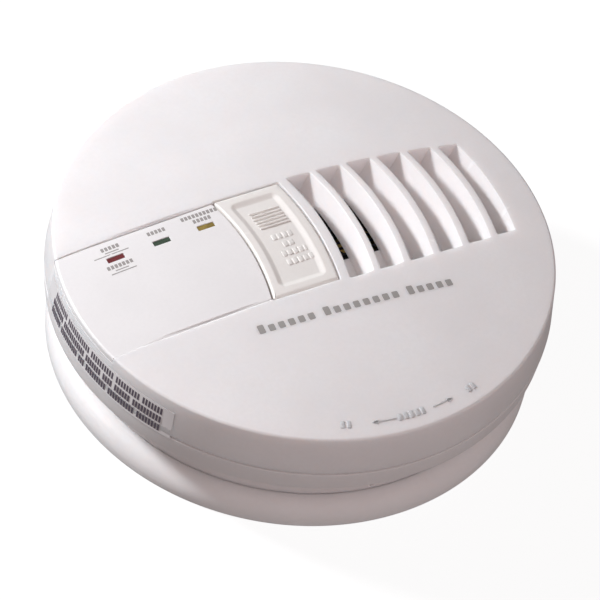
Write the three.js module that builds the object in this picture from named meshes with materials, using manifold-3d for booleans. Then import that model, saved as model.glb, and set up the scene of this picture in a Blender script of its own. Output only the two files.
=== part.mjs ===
// Mains-wired carbon monoxide alarm with battery backup, on its mounting bracket.
// Millimetres. z = 0 is the bracket's back face, +Z points out of the alarm's face,
// +X runs from the indicator panel towards the louvres.
import * as THREE from 'three';
import { mergeVertices } from 'three/addons/utils/BufferGeometryUtils.js';
import Module from 'manifold-3d';

const wasm = await Module();
wasm.setup();

// ---- driving dimensions ----
const SEGMENTS = 48;            // facets round a full turn of the big shells
const GAP = 0.3;                // clearance between neighbouring pieces
const CUT_SPAN = [30, 60];      // heights that clear the face on both sides
const ARC_FACETS = 8;
const HEIGHT = 45.5;            // apex of the domed face
const DOME_RISE = 5.8;          // face height lost between the apex and the rim
const RIM_RADIUS = 71.2;
const WALL_RADIUS = 72.95;      // the widest point, at the parting line
const CREST_RADIUS = 71.8;      // top of the tapered wall
const FILLET_RADIUS = 0.9;      // edge between face and wall
const COVER_BOTTOM = 26.4;
const COVER_SKIN = 2.8;
const LIP = { inner: 68.2, outer: 70.2, bottom: 24.0, root: 36.2, skinEnd: 65 };

const HOUSING = { bottom: 3.4, floorTop: 5.6, top: 25.8, tubRadius: 62.6, neckFoot: 7.4, neckRadius: 64.4 };
const UNDERSIDE = [[64.4, 14.6], [65.6, 16.2], [71.2, 19.0], [72.3, 19.6]];   // flare under the wall
const HOUSING_INSIDE = [[70.6, 21.3], [62.2, 16.6], [62.2, 9.6], [60.4, 9.6]];
const HOUSING_RIM = [72.9, 70.6];
const RING = { top: 7.5, shoulder: 1.6, footRadius: 70.6, footBevel: 0.6, innerRadius: 64.8 };
const RING_HOLLOW = [[66.4, 0], [66.4, 5.2], [67.8, 4.4], [68.9, 2.4], [69.0, 0]];
const PLATE_TOP = 2.4;          // bracket plate thickness
const BAYONET = { angles: [90, 210, 330], width: 12, lugRadius: 64.2, ledgeRadius: 62.9,
  lugZ: [3.8, 5.2], ledgeZ: [5.5, 7.0], stopTurn: 8.5, stopWidth: 3 };
const SCREW_SLOT = { inner: 41.3, outer: 50.8, halfWidth: 2.3 };
const KEYHOLE = { x: 59.2, entryRadius: 4.6, neckLength: 9 };
const ALIGNMENT_TICK = { angles: [263.1, 263.8], depth: 0.5, z: [7.9, 12.0] };
const PLATE_OPENING = { radius: 53, halfHeight: 31 };

const ARC_CENTRE_X = -97.5;     // common centre of the button's two curved edges
const BUTTON = { leftRadius: 79.5, rightRadius: 99.4, halfLength: 19.2, skin: 2.2, skirt: 5.5,
  gap: 0.4, wall: 1.6, dishDepth: 0.7, dishInset: [2.6, 3.2, 3.0], stemRadius: 1.9, travel: 1.2 };
const BAND_HALF = 19.2;         // half height of the indicator panel
const PANEL = { drop: 0.3, thickness: 0.9, inset: 0.15 };
const LOUVRE = { count: 6, firstEdge: 5.5, pitch: 9.75, width: 7.6, lastWidth: 6.3, radius: 88,
  depth: 8.6, lean: 0.372, halfLengths: [20.0, 19.9, 19.8, 19.4, 18.8, 18.0], through: [0, 1],
  throughDepth: 7.2, throughY: [-8.5, 12.5], blockHalf: 21.6,
  blocks: [{ x: [2.9, 35], bottom: 34.2 }, { x: [35, 62], bottom: 31.5 }] };
const BEYOND_RIM = -80;
const SIDE_LABEL = { z: [25.4, COVER_BOTTOM, 35.4], angles: [166, 213.7], lift: 0.06, film: 0.12 };
const WINDOW = { xs: [-53.9, -39.8, -26.1], y: 12.1, length: 5.2, height: 1.8 };

const BOARD = { bottom: 25.4, top: 27.0 };
const BOARD_POST = { spots: [[46, 31], [-42, -28]], radius: 3.2, hole: 1.5, blind: 3 };
const STEM_X = -9.2;            // the button's stem, over the test switch
const CASE_SCREW = { offset: 39.5, shank: 1.4, hole: 1.75, head: 3.0, recess: 3.3, recessTop: 7.4,
  postRadius: 4.6, postTop: 24.6, top: 33.5 };
const BATTERY_BAY = { x: [-47.2, 6.2], y: 15, roof: 23.8, wall: 1.5 };
const DOOR = { hingeX: 3.8, hingeZ: 5.0, pin: 0.9, bottom: 3.4, top: 5.2, freeEdge: -46.8,
  ribs: [-11, -4, 4, 11] };
const INLET = { x: 30, halfX: 12.5, halfY: 8, wall: 1.3, bottom: 3.6, top: 15 };

// ---- materials ----
function material(color, roughness, metalness = 0) {
  return new THREE.MeshStandardMaterial({ color, roughness, metalness });
}
const whitePlastic = material(0xebe7e4, 0.5);
const ivoryPlastic = material(0xece8df, 0.5);
const blackPlastic = material(0x1c1c1e, 0.6);
const boardGreen = material(0x1f5a35, 0.6);
const steel = material(0xb9bcc0, 0.35, 1);
const brass = material(0xb5924c, 0.35, 1);
const redLens = material(0x7a3236, 0.3);
const greenLens = material(0x4c574a, 0.3);
const amberLens = material(0x8c7c40, 0.3);
const labelFilm = material(0xdad6d4, 0.35);
const batteryCase = material(0x2b3a55, 0.4);
const copperWinding = material(0xd9c48a, 0.6);

// ---- solid helpers ----
function solid(geometry) {
  const bare = geometry.index ? geometry.toNonIndexed() : geometry;
  bare.deleteAttribute('normal');
  bare.deleteAttribute('uv');
  const merged = mergeVertices(bare, 1e-4);
  const index = merged.index.array;
  const triangles = [];
  for (let i = 0; i < index.length; i += 3) {
    const [a, b, c] = [index[i], index[i + 1], index[i + 2]];
    if (a !== b && b !== c && c !== a) triangles.push(a, b, c);
  }
  const vertProperties = new Float32Array(merged.attributes.position.array);
  const triVerts = new Uint32Array(triangles);
  return new wasm.Manifold(new wasm.Mesh({ numProp: 3, vertProperties, triVerts }));
}

function geometryOf(manifold) {
  const result = manifold.getMesh();
  const geometry = new THREE.BufferGeometry();
  geometry.setAttribute('position', new THREE.BufferAttribute(new Float32Array(result.vertProperties), 3));
  geometry.setIndex(new THREE.BufferAttribute(new Uint32Array(result.triVerts), 1));
  geometry.computeVertexNormals();
  return geometry;
}

function box([x0, x1], [y0, y1], [z0, z1]) {
  const geometry = new THREE.BoxGeometry(x1 - x0, y1 - y0, z1 - z0);
  geometry.translate((x0 + x1) / 2, (y0 + y1) / 2, (z0 + z1) / 2);
  return solid(geometry);
}

function rod(radius, [z0, z1], x = 0, y = 0, segments = 24, topRadius = radius) {
  const geometry = new THREE.CylinderGeometry(topRadius, radius, z1 - z0, segments);
  geometry.rotateX(Math.PI / 2);
  geometry.translate(x, y, (z0 + z1) / 2);
  return solid(geometry);
}

// A closed (radius, z) outline, listed anticlockwise, turned about +Z.
function turned(outline, segments = SEGMENTS, x = 0, y = 0) {
  const onAxis = outline[0][0] === 0;
  const closed = onAxis ? outline : [...outline, outline[0]];
  const geometry = new THREE.LatheGeometry(closed.map(([r, z]) => new THREE.Vector2(r, z)), segments);
  geometry.rotateX(Math.PI / 2);
  geometry.translate(x, y, 0);
  return solid(geometry);
}

function prism(shape, [z0, z1], curveSegments = 16) {
  const geometry = new THREE.ExtrudeGeometry(shape, { depth: z1 - z0, bevelEnabled: false, curveSegments });
  geometry.translate(0, 0, z0);
  return solid(geometry);
}

function degrees(angle) {
  return angle * Math.PI / 180;
}

// Part of a ring between two angles in degrees.
function sector(inner, outer, [from, to], [z0, z1]) {
  const shape = new THREE.Shape();
  shape.absarc(0, 0, outer, degrees(from), degrees(to), false);
  shape.absarc(0, 0, inner, degrees(to), degrees(from), true);
  return prism(shape, [z0, z1], 4);
}

function union(...solids) {
  return solids.reduce((all, next) => all.add(next));
}

// ---- face shape ----
function domeZ(radius) {
  return HEIGHT - DOME_RISE * (radius / RIM_RADIUS) ** 2;
}

function faceZ(x, y) {
  return domeZ(Math.hypot(x, y));
}

// Face and edge from the wall's top to the axis, lowered by `drop`.
function facePoints(drop) {
  const points = [];
  const centre = { r: CREST_RADIUS - FILLET_RADIUS, z: domeZ(CREST_RADIUS - FILLET_RADIUS) - FILLET_RADIUS };
  for (const angle of [0, 30, 60, 85]) {
    points.push([centre.r + FILLET_RADIUS * Math.cos(degrees(angle)),
      centre.z + FILLET_RADIUS * Math.sin(degrees(angle)) - drop]);
  }
  for (const radius of [60, 44, 25, 0]) points.push([radius, domeZ(radius) - drop]);
  return points;
}

// Everything at or above the face lowered by `drop`, out to beyond the wall.
function aboveFace(drop) {
  const wide = WALL_RADIUS + 5;
  const lowest = facePoints(drop)[0];
  const outline = [...facePoints(drop)].reverse();
  return turned([...outline, [wide, lowest[1]], [wide, HEIGHT + 10], [0, HEIGHT + 10]]);
}

// The solid bounded above by the face lowered by `drop`, down to the cover's foot.
function belowFace(drop) {
  return turned([[0, COVER_BOTTOM], [WALL_RADIUS, COVER_BOTTOM], ...facePoints(drop)]);
}

// Plan outline between two arcs about a centre on the X axis, cut off at +-half.
function arcBand(centreX, inner, outer, half) {
  const innerTurn = Math.asin(half / inner);
  const outerTurn = Math.asin(half / outer);
  const shape = new THREE.Shape();
  shape.absarc(centreX, 0, outer, -outerTurn, outerTurn, false);
  shape.absarc(centreX, 0, inner, innerTurn, -innerTurn, true);
  return shape;
}

// ---- mounting bracket ----
function bayonetBlock(radii, angle, [z0, z1], width = BAYONET.width) {
  return sector(radii[0], radii[1], [angle - width / 2, angle + width / 2], [z0, z1]);
}

function screwSlot(side) {
  const middle = (SCREW_SLOT.inner + SCREW_SLOT.outer) / 2;
  const span = [-1, PLATE_TOP + 1];
  const track = box([-SCREW_SLOT.halfWidth, SCREW_SLOT.halfWidth],
    [side * middle - 4.75, side * middle + 4.75], span);
  const { inner, outer, halfWidth } = SCREW_SLOT;
  return union(track, rod(halfWidth, span, 0, side * inner, 16), rod(halfWidth, span, 0, side * outer, 16));
}

function keyhole(side) {
  const span = [-1, PLATE_TOP + 1];
  const x = side * KEYHOLE.x;
  const half = SCREW_SLOT.halfWidth;
  const entry = rod(KEYHOLE.entryRadius, span, x, 0, 20);
  const neck = box([x - half, x + half], [0, KEYHOLE.neckLength], span);
  return union(entry, neck, rod(half, span, x, KEYHOLE.neckLength, 16));
}

// Convex flare of the flange, from its upright foot up to the inner top edge.
function flarePoints() {
  const [run, rise] = [RING.footRadius - RING.innerRadius, RING.top - RING.shoulder];
  return [0, 22.5, 45, 67.5, 90].map((angle) => [RING.innerRadius + run * Math.cos(degrees(angle)),
    RING.shoulder + rise * Math.sin(degrees(angle))]);
}

function mountingBracket() {
  const { footRadius, footBevel, innerRadius } = RING;
  const ring = turned([[0, 0], ...RING_HOLLOW, [footRadius - footBevel, 0], [footRadius, footBevel],
    ...flarePoints(), [innerRadius, PLATE_TOP], [0, PLATE_TOP]]);
  const opening = rod(PLATE_OPENING.radius, [-1, PLATE_TOP + 1], 0, 0, 40)
    .intersect(box([-60, 60], [-PLATE_OPENING.halfHeight, PLATE_OPENING.halfHeight], [-2, PLATE_TOP + 2]));
  let body = ring.subtract(opening);
  for (const side of [-1, 1]) {
    body = body.subtract(screwSlot(side)).subtract(keyhole(side));
  }
  for (const angle of BAYONET.angles) {
    const ledge = bayonetBlock([BAYONET.ledgeRadius, RING.innerRadius + 0.4], angle, BAYONET.ledgeZ);
    const stop = bayonetBlock([BAYONET.ledgeRadius, RING.innerRadius + 0.4], angle - BAYONET.stopTurn,
      [PLATE_TOP - 0.4, BAYONET.ledgeZ[1]], BAYONET.stopWidth);
    body = union(body, ledge, stop);
  }
  return body;
}

// ---- case ----
function casePosts() {
  const offsets = [-CASE_SCREW.offset, CASE_SCREW.offset];
  return offsets.flatMap((x) => offsets.map((y) => [x, y]));
}

function housingShell() {
  const { bottom, floorTop, top, tubRadius, neckFoot, neckRadius } = HOUSING;
  return turned([[0, bottom], [tubRadius, bottom], [tubRadius, neckFoot], [neckRadius, neckFoot],
    ...UNDERSIDE, ...HOUSING_RIM.map((radius) => [radius, top]), ...HOUSING_INSIDE,
    [HOUSING_INSIDE.at(-1)[0], floorTop], [0, floorTop]]);
}

function batteryBay() {
  const { x, y, roof, wall } = BATTERY_BAY;
  return box([x[0] - wall, x[1] + wall], [-y - wall, y + wall], [HOUSING.bottom + 0.6, roof + 1.2]);
}

function batteryHollow() {
  const { x, y, roof } = BATTERY_BAY;
  const hollow = box(x, [-y, y], [HOUSING.bottom - 1, roof]);
  const hinge = new THREE.CylinderGeometry(DOOR.pin + 0.35, DOOR.pin + 0.35, 2 * y + 2.4, 16);
  hinge.translate(DOOR.hingeX, 0, DOOR.hingeZ);
  return hollow.add(solid(hinge));
}

function backHousing() {
  let body = union(housingShell(), batteryBay()).subtract(batteryHollow());
  const fingerNotch = rod(7, [HOUSING.bottom - 1, HOUSING.bottom + 1.2], BATTERY_BAY.x[0] - 0.5, 0, 24);
  const inletHole = box([INLET.x - INLET.halfX - GAP, INLET.x + INLET.halfX + GAP],
    [-INLET.halfY - GAP, INLET.halfY + GAP], [HOUSING.bottom - 1, HOUSING.floorTop + 1]);
  body = body.subtract(fingerNotch).subtract(inletHole);
  for (const [x, y] of casePosts()) {
    body = body.add(rod(CASE_SCREW.postRadius, [HOUSING.bottom + 0.5, CASE_SCREW.postTop], x, y, 16));
    body = body.subtract(rod(CASE_SCREW.recess, [HOUSING.bottom - 1, CASE_SCREW.recessTop], x, y, 16));
    body = body.subtract(rod(CASE_SCREW.hole, [HOUSING.bottom, CASE_SCREW.postTop + 1], x, y, 10));
  }
  for (const angle of BAYONET.angles) {
    body = body.add(bayonetBlock([HOUSING.tubRadius - 0.5, BAYONET.lugRadius], angle, BAYONET.lugZ));
  }
  for (const [x, y] of BOARD_POST.spots) {
    const { radius, hole, blind } = BOARD_POST;
    body = body.add(rod(radius, [HOUSING.floorTop - 0.5, BOARD.bottom - GAP], x, y, 16));
    body = body.subtract(rod(hole, [HOUSING.floorTop + blind, BOARD.bottom + 1], x, y, 12));
  }
  const { angles, depth, z } = ALIGNMENT_TICK;
  return body.subtract(sector(HOUSING.neckRadius - depth, HOUSING.neckRadius + depth, angles, z));
}

function louvreEdges(index) {
  const edge = LOUVRE.firstEdge + LOUVRE.pitch * index;
  const width = index === LOUVRE.count - 1 ? LOUVRE.lastWidth : LOUVRE.width;
  const depth = LOUVRE.through.includes(index) ? LOUVRE.throughDepth : LOUVRE.depth;
  const foot = LOUVRE.radius + width - LOUVRE.lean * depth;
  return { edge, width, foot, floor: faceZ(edge + width / 2, 0) - depth };
}

// One pocket: an upright wall on the -X side and a leaning wall on the +X side.
function louvrePocket(index) {
  const { edge, width, foot, floor } = louvreEdges(index);
  const inner = LOUVRE.radius;
  const top = HEIGHT + 3;
  const mouth = foot + LOUVRE.lean * (top - floor);
  const ring = turned([[inner, floor], [foot, floor], [mouth, top], [inner, top]], 72, edge - inner, 0);
  const half = LOUVRE.halfLengths[index];
  return ring.intersect(box([edge - 8, edge + width + 8], [-half, half], [floor - 1, top + 1]));
}

function louvreSlit(index) {
  const { edge, width, foot, floor } = louvreEdges(index);
  const shape = arcBand(edge - LOUVRE.radius, LOUVRE.radius, foot, LOUVRE.blockHalf);
  const span = [floor - 6, floor + 1];
  return prism(shape, span, ARC_FACETS).intersect(box([edge - 8, edge + width], LOUVRE.throughY, span));
}

function coverShell() {
  const inside = facePoints(COVER_SKIN).reverse().filter(([radius]) => radius < LIP.skinEnd);
  return turned([[WALL_RADIUS, COVER_BOTTOM], ...facePoints(0), ...inside,
    [LIP.inner, LIP.root], [LIP.inner, LIP.bottom], [LIP.outer, LIP.bottom], [LIP.outer, COVER_BOTTOM]]);
}

function louvreBlock() {
  const half = LOUVRE.blockHalf;
  const steps = LOUVRE.blocks.map(({ x, bottom }) => box(x, [-half, half], [bottom, HEIGHT]));
  return union(...steps).intersect(belowFace(1));
}

function frontCover() {
  let body = coverShell().add(louvreBlock());
  for (const [x, y] of casePosts()) {
    body = body.add(rod(CASE_SCREW.postRadius - 1, [CASE_SCREW.postTop + GAP, faceZ(x, y) - 1.5], x, y, 12));
    body = body.subtract(rod(CASE_SCREW.hole, [CASE_SCREW.postTop - 1, CASE_SCREW.top + 1], x, y, 10));
  }
  for (let index = 0; index < LOUVRE.count; index += 1) body = body.subtract(louvrePocket(index));
  for (const index of LOUVRE.through) body = body.subtract(louvreSlit(index));
  const { leftRadius, rightRadius, halfLength, gap } = BUTTON;
  const opening = arcBand(ARC_CENTRE_X, leftRadius - gap, rightRadius + gap, halfLength + gap);
  body = body.subtract(prism(opening, CUT_SPAN, ARC_FACETS));
  const recess = aboveFace(PANEL.drop + PANEL.thickness + GAP).intersect(bandRegion(BAND_HALF, leftRadius));
  body = body.subtract(recess);
  return body.subtract(windowCuts(0.25));
}

// Plan region from the button's curved left edge, drawn at `radius`, out past the rim.
function bandRegion(half, radius) {
  const shape = new THREE.Shape();
  const turn = Math.asin(half / radius);
  shape.absarc(ARC_CENTRE_X, 0, radius, -turn, turn, false);
  shape.lineTo(BEYOND_RIM, half);
  shape.lineTo(BEYOND_RIM, -half);
  return prism(shape, CUT_SPAN, ARC_FACETS);
}

function windowCuts(extra) {
  const [dx, dy] = [WINDOW.length / 2 + extra, WINDOW.height / 2 + extra];
  const cuts = WINDOW.xs.map((x) => box([x - dx, x + dx], [WINDOW.y - dy, WINDOW.y + dy], [32, 60]));
  return union(...cuts);
}

function indicatorPanel() {
  const shell = belowFace(PANEL.drop).intersect(aboveFace(PANEL.drop + PANEL.thickness));
  const { inset } = PANEL;
  const region = bandRegion(BAND_HALF - inset, BUTTON.leftRadius - BUTTON.gap - inset);
  return shell.intersect(region).subtract(windowCuts(0.05));
}

// Radius of the outer wall at height z.
function wallRadius(z) {
  const [crestRadius, crestZ] = facePoints(0)[0];
  const rise = Math.max(0, z - COVER_BOTTOM) / (crestZ - COVER_BOTTOM);
  return WALL_RADIUS + rise * (crestRadius - WALL_RADIUS);
}

function sideLabel() {
  const { z, angles, lift, film } = SIDE_LABEL;
  const inner = z.map((level) => [wallRadius(level) + lift, level]);
  const outer = inner.map(([radius, level]) => [radius + film, level]);
  const ring = turned([...outer, ...inner.reverse()]);
  return ring.intersect(sector(LIP.inner, WALL_RADIUS + 5, angles, [z[0] - 1, z.at(-1) + 1]));
}

// ---- test button ----
const RIBS = { count: 6, firstY: 11.4, pitch: 1.2, half: 0.3, x: [-13, -3.6], drop: 0.35 };

function testButton() {
  const { leftRadius, rightRadius, halfLength, skin, skirt, wall, dishDepth, stemRadius } = BUTTON;
  const [dishLeft, dishRight, dishEnd] = BUTTON.dishInset;
  const plan = prism(arcBand(ARC_CENTRE_X, leftRadius, rightRadius, halfLength), CUT_SPAN, ARC_FACETS);
  const inside = arcBand(ARC_CENTRE_X, leftRadius + wall, rightRadius - wall, halfLength - wall);
  const hollow = prism(inside, CUT_SPAN, ARC_FACETS);
  const cap = belowFace(0).intersect(aboveFace(skirt)).intersect(plan);
  const under = belowFace(skin).intersect(hollow);
  const dishArcs = [leftRadius + dishLeft, rightRadius - dishRight];
  const dish = prism(arcBand(ARC_CENTRE_X, ...dishArcs, halfLength - dishEnd), CUT_SPAN, ARC_FACETS);
  let body = cap.subtract(under).subtract(aboveFace(dishDepth).intersect(dish));
  for (let rib = 0; rib < RIBS.count; rib += 1) {
    const y = RIBS.firstY - rib * RIBS.pitch;
    const top = faceZ(STEM_X, y) - RIBS.drop;
    body = body.add(box(RIBS.x, [y - RIBS.half, y + RIBS.half], [top - 1, top]));
  }
  const stem = rod(stemRadius, [stemFoot(), HEIGHT - skin + 0.2], STEM_X, 0, 16);
  return body.add(stem);
}

// ---- test switch under the button ----
const SWITCH_TOP = BOARD.top + 4.0;
const PLUNGER_TOP = SWITCH_TOP + 3.0;

function stemFoot() {
  return PLUNGER_TOP + GAP;
}

function testSwitch() {
  const body = box([STEM_X - 3, STEM_X + 3], [-3, 3], [BOARD.top + 0.1, SWITCH_TOP]);
  return body.subtract(rod(1.9, [BOARD.top + 1.2, SWITCH_TOP + 1], STEM_X, 0, 16));
}

function switchPlunger() {
  return rod(1.6, [BOARD.top + 1.2 + BUTTON.travel + 0.2, PLUNGER_TOP], STEM_X, 0, 16);
}

const GUIDE = { outer: 6.2, inner: 4.7, seatInner: 2.6, top: 35.4, seat: 1.2 };

function buttonGuide() {
  return turned([[GUIDE.inner, BOARD.top + 0.1], [GUIDE.outer, BOARD.top + 0.1], [GUIDE.outer, GUIDE.top],
    [GUIDE.seatInner, GUIDE.top], [GUIDE.seatInner, GUIDE.top - GUIDE.seat],
    [GUIDE.inner, GUIDE.top - GUIDE.seat]], 24, STEM_X, 0);
}

class Helix extends THREE.Curve {
  constructor(radius, bottom, top, turns) {
    super();
    Object.assign(this, { radius, bottom, top, turns });
  }

  getPoint(t, target = new THREE.Vector3()) {
    const angle = 2 * Math.PI * this.turns * t;
    return target.set(STEM_X + this.radius * Math.cos(angle), this.radius * Math.sin(angle),
      this.bottom + (this.top - this.bottom) * t);
  }
}

function buttonSpring() {
  const wire = new THREE.Shape();
  const wireRadius = 0.3;
  wire.absarc(0, 0, wireRadius, 0, 2 * Math.PI, false);
  const top = domeZ(STEM_X) - BUTTON.skin - 0.9;
  const path = new Helix(3.7, GUIDE.top + 0.45, top, 3.5);
  const geometry = new THREE.ExtrudeGeometry(wire, { steps: 32, extrudePath: path, curveSegments: 3 });
  return solid(geometry);
}

// ---- electronics ----
const BOARD_OUTLINE = [[-58, -22], [-46, -34], [50, -34], [50, 34], [-46, 34], [-58, 22]];

function circuitBoard() {
  const shape = new THREE.Shape(BOARD_OUTLINE.map(([x, y]) => new THREE.Vector2(x, y)));
  let body = prism(shape, [BOARD.bottom, BOARD.top]);
  for (const [x, y] of BOARD_POST.spots) body = body.subtract(rod(1.7, [20, 30], x, y, 16));
  return body;
}

function boardScrew([x, y]) {
  const shank = rod(1.2, [BOARD.bottom - 8, BOARD.top + GAP], x, y, 12);
  return shank.add(rod(2.7, [BOARD.top + 0.15, BOARD.top + 1.9], x, y, 16, 2.1));
}

function caseScrew([x, y]) {
  const head = rod(CASE_SCREW.head, [HOUSING.bottom + 1.4, CASE_SCREW.recessTop - 0.2], x, y, 14);
  const shank = rod(CASE_SCREW.shank, [HOUSING.bottom + 2, CASE_SCREW.top], x, y, 10);
  const slots = union(box([x - 2, x + 2], [y - 0.35, y + 0.35], [HOUSING.bottom, HOUSING.bottom + 2.6]),
    box([x - 0.35, x + 0.35], [y - 2, y + 2], [HOUSING.bottom, HOUSING.bottom + 2.6]));
  return head.add(shank).subtract(slots);
}

function ledBody(x) {
  const base = rod(1.9, [BOARD.top + 0.1, BOARD.top + 1.0], x, WINDOW.y, 12);
  const bulb = turned([[0, BOARD.top + 0.9], [1.5, BOARD.top + 0.9], [1.5, BOARD.top + 3.2],
    [1.05, BOARD.top + 4.3], [0, BOARD.top + 4.7]], 12, x, WINDOW.y);
  return base.add(bulb);
}

function lightPipe(x) {
  const [dx, dy] = [WINDOW.length / 2 - 0.05, WINDOW.height / 2 - 0.05];
  const pipe = box([x - dx, x + dx], [WINDOW.y - dy, WINDOW.y + dy], [BOARD.top + 5.1, 60]);
  const shelf = box([x - dx - 1, x + dx + 1], [WINDOW.y - dy - 1, WINDOW.y + dy + 1], [36.2, 37.4]);
  return pipe.intersect(belowFace(PANEL.drop + 0.1)).add(shelf);
}

const HORN = { x: 17.4, y: 0, radius: 17, bottom: BOARD.top + 0.1, top: 33.4 };

function hornHousing() {
  const { x, y, radius, bottom, top } = HORN;
  return turned([[radius - 3, bottom], [radius, bottom], [radius, top], [6, top], [6, top - 1.2],
    [radius - 1.5, top - 1.2], [radius - 1.5, bottom + 2], [radius - 3, bottom + 2]], 24, x, y);
}

function piezoDisc() {
  return rod(HORN.radius - 1.9, [HORN.bottom + 2.3, HORN.bottom + 2.9], HORN.x, HORN.y, 24);
}

const SCREEN = { x: [3.4, 25], halfY: 15.5, margin: 2, pitch: 2.2, slotHalf: 0.7, rows: 6 };

function insectScreen() {
  const { x, halfY, margin, pitch, slotHalf, rows } = SCREEN;
  const level = [HORN.top + 0.25, HORN.top + 0.55];
  const slotX = [x[0] + margin, x[1] - margin];
  let body = box(x, [-halfY, halfY], level);
  for (let row = -rows; row <= rows; row += 1) {
    const y = row * pitch;
    body = body.subtract(box(slotX, [y - slotHalf, y + slotHalf], [level[0] - 1, level[1] + 1]));
  }
  return body;
}

const SENSOR = { x: 20, y: -28, radius: 5.6 };

function coSensor() {
  const { x, y, radius } = SENSOR;
  return turned([[0, BOARD.top + 0.2], [radius + 0.6, BOARD.top + 0.2], [radius + 0.6, BOARD.top + 1.2],
    [radius, BOARD.top + 1.2], [radius, 34.6], [radius - 0.6, 35.2], [0, 35.2]], 18, x, y);
}

function coSensorFilter() {
  const { x, y, radius } = SENSOR;
  const cap = turned([[0, 35.5], [radius, 35.5], [radius, 38.0], [radius - 0.7, 38.6], [0, 38.6]], 18, x, y);
  return cap.subtract(rod(1.6, [36.4, 40], x, y, 16));
}

const CHIP = { x: [-38, -26], y: [-27, -20.5], legY: [-28.4, -19.1], pins: 7, firstPin: -36.8, pitch: 1.6,
  legHalf: 0.25 };

function microcontroller() {
  const { x, y, legY, pins, firstPin, pitch, legHalf } = CHIP;
  const body = box(x, y, [BOARD.top + 0.4, BOARD.top + 2.2]);
  const legs = [];
  for (let pin = 0; pin < pins; pin += 1) {
    const pinX = firstPin + pin * pitch;
    legs.push(box([pinX - legHalf, pinX + legHalf], legY, [BOARD.top + 0.1, BOARD.top + 0.9]));
  }
  return union(body, ...legs);
}

const TRANSFORMER = { core: [[18, 40], [13, 31], [10, 24.8]], windowX: [21.5, 36.5], windowZ: [12, 23],
  windowYs: [[12, 15.5], [28.5, 32]] };

function transformer() {
  const { core, windowX, windowZ, windowYs } = TRANSFORMER;
  const windows = windowYs.map((windowY) => box(windowX, windowY, windowZ));
  return box(...core).subtract(union(...windows));
}

function filmCapacitor() {
  return box([18, 38], [-22, -13], [11, 25.1]);
}

const CAN = { x: 28, y: -29, radius: 5, bottom: 10, groove: 23.1, top: 25.0 };

function electrolyticCapacitor() {
  const { x, y, radius, bottom, groove, top } = CAN;
  return turned([[0, bottom], [radius - 0.6, bottom], [radius, bottom + 0.6], [radius, groove - 0.5],
    [radius - 0.5, groove], [radius, groove + 0.5], [radius, top], [0, top]], 18, x, y);
}

// ---- mains inlet ----
function mainsInlet() {
  const { x, halfX, halfY, wall, bottom, top } = INLET;
  const outer = box([x - halfX, x + halfX], [-halfY, halfY], [bottom, top]);
  const [recessX, recessY] = [halfX - wall, halfY - wall];
  const recess = box([x - recessX, x + recessX], [-recessY, recessY], [bottom - 1, top - 2]);
  const keyRib = box([x - 1.2, x + 1.2], [halfY - wall - 1.4, halfY - 0.5], [bottom + 1, top - 1]);
  const flange = box([x - halfX - 1.5, x + halfX + 1.5], [-halfY - 1.5, halfY + 1.5],
    [HOUSING.floorTop + GAP, HOUSING.floorTop + 1.6]);
  let body = union(outer, flange).subtract(recess).add(keyRib);
  for (const pinX of inletPins()) {
    body = body.subtract(box([pinX - 1.1, pinX + 1.1], [-0.8, 0.8], [bottom, top + 1]));
  }
  return body;
}

function inletPins() {
  return [INLET.x - 7, INLET.x, INLET.x + 7];
}

function inletPin(x) {
  return box([x - 0.8, x + 0.8], [-0.4, 0.4], [INLET.bottom + 2.4, BOARD.bottom - 0.2]);
}

// ---- battery ----
const CELL = { x: [-46.4, 0.2], halfY: 13.1, z: [6.0, 23.4] };
const STUD = { radii: [2.9, 3.6], length: 2.6, reach: 0.9 };
const CONTACT = { offset: 2.6, thickness: 0.5, foot: 2.0, halfWidth: 3.4, drop: 5 };

function batteryTerminals() {
  return [-6.35, 6.35];
}

function battery() {
  let body = box(CELL.x, [-CELL.halfY, CELL.halfY], CELL.z);
  const middle = (CELL.z[0] + CELL.z[1]) / 2;
  for (const y of batteryTerminals()) {
    const radius = y < 0 ? STUD.radii[0] : STUD.radii[1];
    const stud = new THREE.CylinderGeometry(radius, radius, STUD.length, 16);
    stud.rotateZ(Math.PI / 2);
    stud.translate(CELL.x[1] + STUD.reach, y, middle);
    body = body.add(solid(stud));
  }
  return body;
}

function batteryContact(y) {
  const middle = (CELL.z[0] + CELL.z[1]) / 2;
  const { offset, thickness, foot, halfWidth, drop } = CONTACT;
  const [near, top] = [CELL.x[1] + offset, BATTERY_BAY.roof - GAP];
  const width = [y - halfWidth, y + halfWidth];
  const blade = box([near, near + thickness], width, [middle - drop, top]);
  const tab = box([near, near + foot], width, [top - thickness, top]);
  return blade.add(tab);
}

function batteryDoor() {
  const { hingeX, hingeZ, pin, bottom, top, freeEdge } = DOOR;
  const half = BATTERY_BAY.y - GAP;
  let body = box([freeEdge, hingeX - 0.4], [-half, half], [bottom, top]);
  for (const y of DOOR.ribs) {
    body = body.add(box([freeEdge + 4, -6], [y - 0.6, y + 0.6], [top - GAP, CELL.z[0] - 0.25]));
  }
  body = body.add(box([hingeX - 2.6, hingeX], [-half, half], [hingeZ - pin, hingeZ + pin * 0.2]));
  const rodGeometry = new THREE.CylinderGeometry(pin, pin, 2 * BATTERY_BAY.y + 1.6, 16);
  rodGeometry.translate(hingeX, 0, hingeZ);
  return body.add(solid(rodGeometry));
}

function ratingLabel() {
  return box([-30, 30], [20.5, 33], [HOUSING.bottom - 0.25, HOUSING.bottom - 0.05]);
}

// ---- assembly ----
const alarm = new THREE.Group();

function addPiece(name, shape, look) {
  const mesh = new THREE.Mesh(geometryOf(shape), look);
  mesh.name = name;
  alarm.add(mesh);
}

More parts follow.
